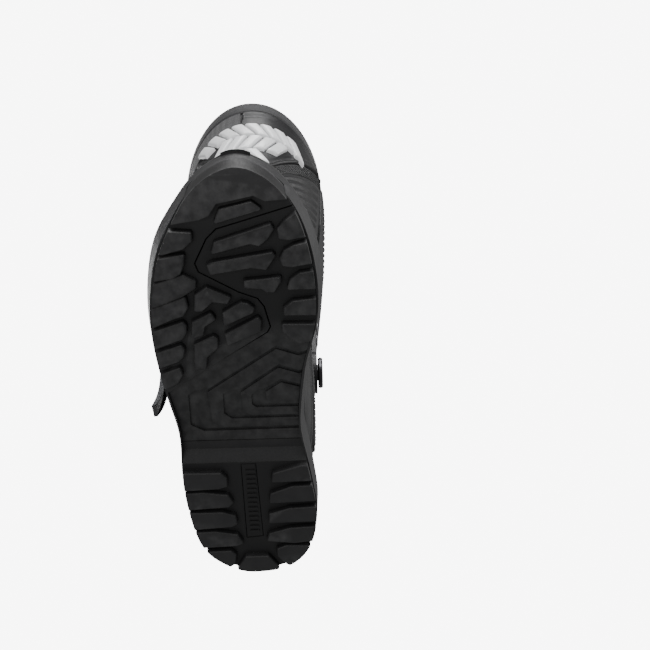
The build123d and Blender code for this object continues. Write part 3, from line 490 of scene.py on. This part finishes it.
for n in ("outsole_lateral", "outsole_medial", "heel_block"):
    dress(n, RUBBER, 0.45)
dress("heel_plaque", RUBBER, 0.2, planar=0)
dress("sole_rand", RAND_RUBBER, 0.6)
dress("midsole", FOAM, 0.4)
dress("insole_board", BOARD, 0.4)
dress("footbed", FOAM, 1.0)
dress("steel_shank", STEEL, 0.3)
for n in ("heel_counter", "ankle_guard_lateral", "ankle_guard_medial", "hinge_frame_lateral",
          "hinge_frame_medial"):
    dress(n, PLASTIC, 0.9)
dress("ankle_pivots", BLACK_STEEL, 0.25)
dress("hinge_frame_rivets", STEEL, 0.25)
for n in ("instep", "ankle", "shin"):
    dress(n + "_strap", STRAP, 0.5)
    dress(n + "_buckle_base", LEVER, 0.3)
    dress(n + "_buckle_lever", LEVER, 0.45)
for n in ("instep_buckle_pin", "cuff_buckle_pins", "instep_strap_screw", "cuff_strap_screws"):
    dress(n, STEEL, 0.2)


# ------------------------------------------------------------------ shape details, in mm
def line(d, width, depth):
    """A soft groove (negative depth) or ridge about d = 0."""
    return depth * np.exp(-(d / (width / 2)) ** 2)


def ramp(d, width):
    t = np.clip(d / width, 0, 1)
    return t * t * (3 - 2 * t)


def stitches(d, x, pitch=3.2, width=0.8, height=0.35):
    """A row of thread stitches along x, at distance d from its line."""
    run = 0.5 - 0.5 * np.cos(2 * math.pi * x / pitch)
    return height * np.exp(-(d / (width / 2)) ** 2) * run ** 0.6


def studs(x, y, pitch=5.0, radius=1.6, height=1.0):
    """Round studs on a staggered grid."""
    row = np.round(y / (pitch * 0.87))
    shift = np.where(row % 2 == 0, 0.0, pitch / 2)
    dx = x - shift - np.round((x - shift) / pitch) * pitch
    dy = y - row * pitch * 0.87
    r = np.hypot(dx, dy)
    return height * (1 - ramp(r - radius * 0.45, radius * 0.6))


def toe_cap_detail(k):
    band = 0.9 * ramp(9.5 - k["far"], 1.2)
    return band + line(k["far"] - 12.5, 1.6, -0.6) + line(k["far"] - 5.0, 1.2, -0.5)


def instep_detail(k):
    ribs = sum(line(k["y"] - y0 - 0.0035 * k["x"] ** 2, 3.2, 0.9) for y0 in (8, 16, 24, 32, 40))
    inside = ramp(k["near"] - 5, 2)
    return ribs * inside + line(k["near"] - 3.4, 1.2, -0.5)


def guard_detail(k):
    panel = -0.8 * ramp(k["near"] - 6, 1.2)
    slant = k["x"] * 0.8 + k["y"]
    marks = sum(line(slant - c, 2.4, 1.0) for c in (30, 40, 50))
    return panel + marks * ramp(k["near"] - 9, 3) + line(k["near"] - 3.2, 1.0, -0.4)


def shin_detail(k):
    rim = 0.8 * ramp(5.0 - k["near"], 1.2)
    return rim + line(k["near"] - 7.5, 1.4, -0.5)


def shin_edge(angle):
    """Station of the upper shin plate's lower edge, as in the CAD."""
    return 15.0 + 0.0453 * (np.hypot(angle, 8.0) - 8.0)


def rib_detail(k):
    """Flex ribs that follow the upper plate's edge, inside a smooth border."""
    below = (shin_edge(k["a"]) - k["s"]) * 33
    total = np.zeros_like(below)
    for n in range(9):
        total = total + (1.3 if n < 6 else 0.8) * np.exp(-(np.abs(below - 22.8 - 9.9 * n) / 2.9) ** 4)
    side = ramp(k["side0"] - 5, 3) * ramp(k["side1"] - 6, 3)
    return total * side + line(k["near"] - 3.0, 1.2, -0.4)


def band_detail(k):
    return 0.7 * np.clip(np.sin(k["x"] * 2 * math.pi / 3.2) * np.sin(k["y"] * 2 * math.pi / 3.2) * 1.5, -1, 1)


def calf_detail(k):
    centre = np.abs(k["x"])
    ribs = sum(line(k["y"] - y0 + centre * 0.25, 3.5, 1.0) for y0 in range(22, 190, 14))
    return ribs * (1 - ramp(centre - 26, 4)) - 0.7 * ramp(centre - 32, 1.5) * ramp(k["near"] - 6, 1.5)


def pad_detail(k):
    return studs(k["x"], k["y"], 4.6, 1.5, 0.9) * ramp(k["near"] - 4, 1.5) + 0.5 * ramp(3 - k["near"], 1)


def flap_detail(k):
    return stitches(k["near"] - 3.2, k["x"] + k["y"]) + line(k["near"] - 3.2, 1.6,
                                                             -0.35) - 0.3 * ramp(k["near"] - 9, 5)


def cloth_edge_detail(k):
    return line(k["side0"] - 2.4, 1.2, -0.4) + line(k["side1"] - 2.4, 1.2, -0.4)


def panel_detail(k):
    """Leather panel of the cuff: slight folds above the ankle and two stitched seams."""
    folds = 0.35 * np.sin(k["y"] / 5.5) * ramp(60 - k["y"], 40)
    seam = line(k["far"] - 26, 1.2, -0.5) + stitches(k["far"] - 29, k["x"]) + stitches(k["far"] - 23, k["x"])
    return (folds + seam) * ramp(k["near"], 4)


def quilt(k):
    """Sewn channels on the inner face of a lining."""
    cell = np.abs(np.sin(k["x"] * math.pi / 24)) ** 0.5 * np.abs(np.sin(k["y"] * math.pi / 30)) ** 0.5
    return -1.6 * cell


# ------------------------------------------------------------------ the foot half
SHELL_GAP = 0.4             # degrees between the two shell halves and the middle
SHELL_LOWEST = 17.5         # height of the shell's lower edge, in mm
ARMOUR_LOWEST = 27.6        # height of the toe cap's and side guards' lower edge
LINING_LOWEST = 26.4
GUARD_FROM, GUARD_TO = 44.0, 128.0

for side, label in ((-1, "lateral"), (1, "medial")):
    if side > 0:
        limits = (SHELL_GAP, lambda q: lowest_angle(q, SHELL_LOWEST))
    else:
        limits = (lambda q: -lowest_angle(q, SHELL_LOWEST), -SHELL_GAP)
    piece("foot_leather_" + label, plate((0.02, 11.5), limits, (-3.0, 0.0), 2.4, 0.8), MICROFIBRE, "foot",
          ["foot_shell_" + label])

    if side > 0:
        limits = (GUARD_FROM, lambda q: min(GUARD_TO, lowest_angle(q, ARMOUR_LOWEST)))
    else:
        limits = (lambda q: -min(GUARD_TO, lowest_angle(q, ARMOUR_LOWEST)), -GUARD_FROM)
    piece("side_armour_" + label, plate((4.5, 9.3), limits, (0.4, 3.4), 1.4, 1.2, guard_detail), PLASTIC,
          "foot",
          ["side_guard_" + label])

piece("foot_lining", plate((0.6, 11.5), (lambda q: -lowest_angle(q, LINING_LOWEST),
                                         lambda q: lowest_angle(q, LINING_LOWEST)),
                           (-7.0, -3.4), 3.0, 1.0, inner=quilt), LINING, "foot", ["foot_liner"])


def toe_nose(mesh, height):
    """Closes the toe cap's open front ring by keeping its points above the sidewall."""
    verts, faces, uv = mesh
    verts[:, 2] = np.maximum(verts[:, 2], height + spring(verts[:, 0]))
    return verts, faces, uv


def toe_tip():
    """Rounded front of the toe cap, closed at the back."""
    _, run = even_angles(0.03, -180.0, 180.0, np.array([1.0]))
    a, _ = even_angles(0.03, -180.0, 180.0, np.arange(48) / 48)
    rim = skin(0.03, a, 3.3)
    centre = rim.mean(0)
    rows = [centre + (rim - centre) * q + np.array([2.2 * (1 - q * q), 0,
                                                    0]) for q in (1.0, 0.92, 0.78, 0.58, 0.34, 0.12)]
    rows = [centre + (rim - centre) * 0.2 - np.array([3.0, 0, 0]), rim - np.array([2.0, 0, 0])] + rows
    verts = np.concatenate(rows)
    k = np.arange(len(verts)).reshape(len(rows), -1)
    k = np.concatenate([k, k[:, :1]], 1)
    faces = np.stack([k[:-1, :-1], k[:-1, 1:], k[1:, 1:], k[1:, :-1]], -1).reshape(-1, 4).tolist()
    faces += [k[0, :-1].tolist(), k[-1, :-1].tolist()[::-1]]
    return verts, faces, verts[:, 1:3].copy()


piece("toe_armour", [toe_nose(toe_tip(), 27.3),
                     toe_nose(plate((0.03, 4.0),
                                    (lambda q: -lowest_angle(q, ARMOUR_LOWEST),
                                     lambda q: lowest_angle(q, ARMOUR_LOWEST)),
                                   (0.4, 3.4), 1.2, 1.2, toe_cap_detail), 27.3)], PLASTIC, "foot",
                                   ["toe_cap"])
piece("instep_armour", plate((4.5, 8.0), (-38.0, 38.0), (0.4, 3.4), 1.0, 1.2, instep_detail), PLASTIC, "foot",
      ["instep_plate"])
piece("ankle_grip_medial", plate((9.62, 10.35), (70.0, 104.0), (3.2, 4.2), 0.8, 0.8, pad_detail), RUBBER,
      "foot")
piece("heel_ridge", plate((10.75, 11.42), (150.0, 210.0), (3.2, 4.6), 1.2, 1.0,
                          lambda k: line(np.abs(k["x"]) - 8, 3, -0.8)),
      PLASTIC, "foot")


# ------------------------------------------------------------------ the soft ankle sleeve
def bellows_profile():
    u = np.linspace(0, 1, 61)
    s = 11.57 + (12.93 - 11.57) * u
    wave = 0.5 - 0.5 * np.cos(2 * math.pi * 5 * u)
    outer = -3.4 + 2.2 * wave
    inner = -6.0 + 1.2 * wave
    return np.concatenate([np.stack([s, outer], 1), np.stack([s, inner], 1)[::-1]])


sleeve = piece("ankle_bellows", hoop(bellows_profile(), 2.0), GAITER, None, ["ankle_gaiter"])
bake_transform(sleeve)


# ------------------------------------------------------------------ the cuff
for side, label in ((-1, "lateral"), (1, "medial")):
    limits = (1.0, 179.0) if side > 0 else (-179.0, -1.0)
    piece("cuff_leather_" + label, plate((13.0, 17.94), limits, (-3.0, 0.0), 1.8, 0.9, panel_detail),
          MICROFIBRE,
          "cuff", ["cuff_panel_" + label])

u = np.linspace(0, 1, 41)
s_run = 13.06 + (17.93 - 13.06) * u
lining_profile = np.concatenate([np.stack([s_run, np.full_like(u, -3.5)], 1),
                                 np.stack([s_run, np.full_like(u, -7.0)], 1)[::-1]])
lining = piece("cuff_lining", hoop(lining_profile, 3.0, lambda k: np.where(k["o"] < -5, quilt(k), 0.0)),
               LINING,
               "cuff", ["cuff_liner"])


def upper_shin(angle):
    """Upper limit of the shin plate: cut back on the outer side for the woven band."""
    return 17.81 - (17.81 - 17.04) * float(ramp(-angle - 5.0, 3.5))


piece("shin_armour", plate((shin_edge, upper_shin), (-50.0, 74.0), (0.4, 2.9), 1.0, 1.2, shin_detail),
      PLASTIC, "cuff",
      ["shin_plate"])
piece("shin_ribs", plate((13.5, lambda q: shin_edge(q) - 0.5), (-46.0, 72.0), (0.4, 3.0), 0.9, 1.1,
                         rib_detail),
      PLASTIC, "cuff", ["shin_rib_plate"])
piece("shin_texture_band", plate((lambda q: shin_edge(q) - 0.45, lambda q: shin_edge(q) - 0.04),
                                 (-46.0, 72.0),
                                 (0.4, 2.2), 0.6, 0.6, band_detail), RUBBER, "cuff", ["shin_band"])

BADGE_ROWS = [(15.42, 15.92, 11.0), (15.98, 16.5, 27.0), (16.56, 17.02, 42.0)]
BADGE_PITCH, BADGE_BAR, BADGE_LEAN = 10.5, 8.5, 9.0
bars = []
for row, (low, high, reach) in enumerate(BADGE_ROWS):
    lean = BADGE_LEAN if row % 2 else -BADGE_LEAN
    count = int(2 * reach / BADGE_PITCH)
    for middle in np.linspace(-1, 1, count) * BADGE_PITCH * (count - 1) / 2:
        left = lambda q, a=middle - BADGE_BAR / 2 - lean / 2, lo=low, hi=high, ln=lean: a + ln * (q - lo) / (hi - lo)
        right = lambda q, f=left: f(q) + BADGE_BAR
        bars.append(plate((low, high), (left, right), (2.6, 6.0), 0.7, 1.6,
                          lambda k: 0.4 * np.cos(np.clip(k["x"] / 6, -1, 1) * math.pi / 2)))
piece("shin_badge_bars", bars, WHITE, "cuff", ["shin_badge"])

piece("webbing_band", plate((17.12, 17.81), (-68.0, -8.0), (0.3, 2.3), 0.8, 0.8, cloth_edge_detail),
      BAND_CLOTH,
      "cuff", ["textile_band"])
piece("flap_cloth", plate((16.42, 17.82), (-114.0, -80.0), (0.3, 2.5), 0.8, 1.0, flap_detail), FLAP_CLOTH,
      "cuff",
      ["closure_flap"])
piece("calf_armour", plate((13.5, 17.82), (116.0, 244.0), (0.4, 3.3), 1.4, 1.2, calf_detail), PLASTIC, "cuff",
      ["calf_plate"])
piece("grip_rubber", plate((16.3, 17.82), (77.0, 113.0), (0.4, 3.0), 0.8, 1.0, pad_detail), RUBBER, "cuff",
      ["medial_grip_pad"])


def rounded_profile(s_mid, s_half, o_mid, o_half, power, count=40):
    t = np.linspace(0, 2 * math.pi, count, endpoint=False)
    c, d = np.cos(t), np.sin(t)
    return np.stack([s_mid + s_half * np.sign(c) * np.abs(c) ** (2 / power),
                     o_mid + o_half * np.sign(d) * np.abs(d) ** (2 / power)], 1)


collar = piece("collar_padding", hoop(rounded_profile(18.45, 0.54, -3.4, 4.7, 3.2), 2.0), COLLAR_CLOTH,
               "cuff",
               ["top_collar"])
for n, s0 in enumerate((17.90, 17.975)):
    piece("collar_piping_%d" % (n + 1), hoop(rounded_profile(s0, 0.022, 1.0, 0.75, 2.2, 12), 1.4,
                                             lambda k: 0.12 * np.sin(k["x"] * 2 * math.pi / 2.4)),
                                             COLLAR_CLOTH, "cuff")

# ------------------------------------------------------------------ camera, floor and light
cam_data = bpy.data.cameras.new("camera")
cam = bpy.data.objects.new("camera", cam_data)
bpy.context.scene.collection.objects.link(cam)
cam_data.sensor_width = 36
cam_data.lens = 80.26
cam.matrix_world = Matrix.Translation((0.6528, 0.0408, -0.8081)) @ Matrix((
    (-0.01608, 0.87007, 0.49267), (0.99953, 0.02687, -0.01483), (-0.02615, 0.49220, -0.87009))).to_4x4()
bpy.context.scene.camera = cam

mesh = bpy.data.meshes.new("floor")
mesh.from_pydata([(-3, -3, -0.0006), (3.3, -3, -0.0006), (3.3, 3, -0.0006), (-3, 3, -0.0006)], [],
                 [(0, 1, 2, 3)])
floor = bpy.data.objects.new("floor", mesh)
bpy.context.scene.collection.objects.link(floor)
mat, nt, shader = tree("floor_paint", (0.9, 0.9, 0.9), 0.75, Emission_Color=(1, 1, 1, 1),
                       Emission_Strength=0.55)
clear = add(nt, "ShaderNodeBsdfTransparent")
behind = add(nt, "ShaderNodeNewGeometry").outputs["Backfacing"]
blend = add(nt, "ShaderNodeMixShader", {0: behind, 1: shader.outputs[0], 2: clear.outputs[0]})
nt.links.new(blend.outputs[0], nt.nodes["Material Output"].inputs[0])
mesh.materials.append(mat)
floor.visible_shadow = False
floor.visible_diffuse = False
floor.visible_glossy = False

world = bpy.data.worlds.new("studio")
bpy.context.scene.world = world
world.use_nodes = True
wt = world.node_tree
seen = wt.nodes["Background"]
seen.inputs[1].default_value = 8.0
lit = add(wt, "ShaderNodeBackground", {0: (1.0, 1.0, 1.0, 1.0), 1: 0.30})
seen.inputs[0].default_value = (1.0, 1.0, 1.0, 1)
pick = add(wt, "ShaderNodeMixShader", {0: add(wt, "ShaderNodeLightPath").outputs["Is Camera Ray"],
                                       1: lit.outputs[0], 2: seen.outputs[0]})
wt.links.new(pick.outputs[0], wt.nodes["World Output"].inputs[0])


def area(name, place, target, size, power):
    light = bpy.data.lights.new(name, "AREA")
    light.shape, light.size, light.energy = "DISK", size, power
    obj = bpy.data.objects.new(name, light)
    bpy.context.scene.collection.objects.link(obj)
    obj.location = place
    obj.rotation_euler = (Vector(target) - Vector(place)).to_track_quat("-Z", "Y").to_euler()
    return obj


area("key_front", (1.9, 0.15, 0.25), (0.2, 0, 0.05), 1.1, 26)
area("fill_below", (0.9, -0.7, -1.5), (0.15, 0, 0.0), 1.2, 9)
area("rim_above", (-0.9, -0.6, 1.6), (0.1, 0, 0.2), 1.2, 22)
area("front_above", (1.3, 0.1, 1.2), (0.13, 0, 0.33), 0.8, 12)
area("side_medial", (0.3, 1.9, 0.9), (0.1, 0, 0.2), 1.2, 14)
